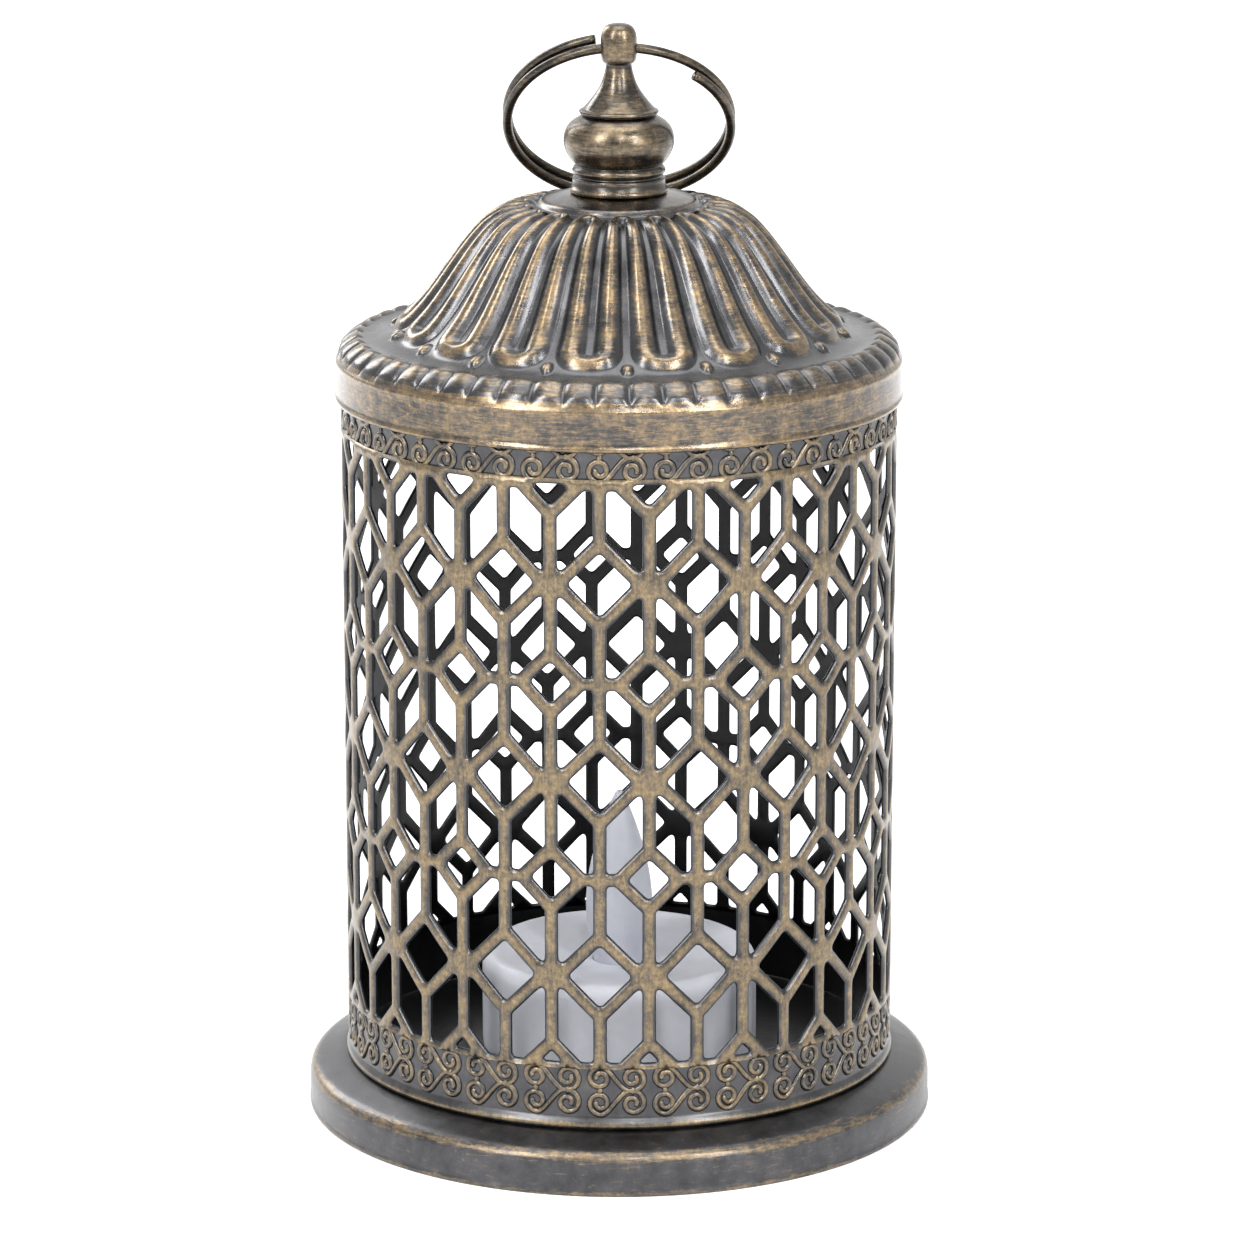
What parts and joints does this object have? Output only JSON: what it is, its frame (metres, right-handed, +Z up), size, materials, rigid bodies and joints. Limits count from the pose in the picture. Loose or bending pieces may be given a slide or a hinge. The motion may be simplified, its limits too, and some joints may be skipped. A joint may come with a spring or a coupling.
{
  "type": "candle lantern",
  "caption": "Round pierced tin lantern in rubbed antique brass, with a fluted lift-off lid, a turned knob with a carrying ring and an electric tealight inside.",
  "frame": {"origin": "centre of the foot plate's lower rim, on the surface that the lantern stands on", "axes": "+Z up along the lantern's axis, -Y to the front, +X to the right seen from the front"},
  "size_m": [0.0862, 0.0862, 0.1497],
  "materials": {
    "pierced_tin": "satin",
    "lid_tin": "satin",
    "foot_tin": "satin",
    "knob_brass": "satin",
    "ring_wire": "satin",
    "screw_steel": "satin",
    "case_plastic": "matte",
    "flame_plastic": "satin",
    "cell_steel": "satin",
    "contact_metal": "satin",
    "lamp_resin": "gloss",
    "switch_plastic": "matte"
  },
  "bodies": {
    "lantern": {"base_plate": "foot_tin", "cage": "pierced_tin"},
    "lid": {"lid": "lid_tin", "finial": "knob_brass", "finial_washer": "screw_steel", "finial_screw": "screw_steel"},
    "ring": {"carry_ring": "ring_wire"},
    "candle": {"candle_housing": "case_plastic", "candle_floor": "case_plastic", "battery_door": "case_plastic", "door_screw": "screw_steel", "coin_cell": "cell_steel", "positive_contact": "contact_metal", "negative_contact": "contact_metal", "switch_contact": "contact_metal", "led": "lamp_resin", "led_anode_leg": "contact_metal", "led_cathode_leg": "contact_metal", "flame": "flame_plastic"},
    "switch": {"switch_slider": "switch_plastic"}
  },
  "joints": [
    {"name": "lid_lift", "type": "slide", "parent": "lantern", "child": "lid", "axis": [0, 0, 1], "range_m": [0, 0.08]},
    {"name": "ring_swing", "type": "hinge", "parent": "lid", "child": "ring", "pos_m": [0, 0, 0.1464], "axis": [1, 0, 0], "range_deg": [0, 276]},
    {"name": "candle_lift", "type": "slide", "parent": "lantern", "child": "candle", "axis": [0, 0, 1], "range_m": [0, 0.07]},
    {"name": "switch_slide", "type": "slide", "parent": "candle", "child": "switch", "axis": [1, 0, 0], "range_m": [0, 0.0024]}
  ]
}
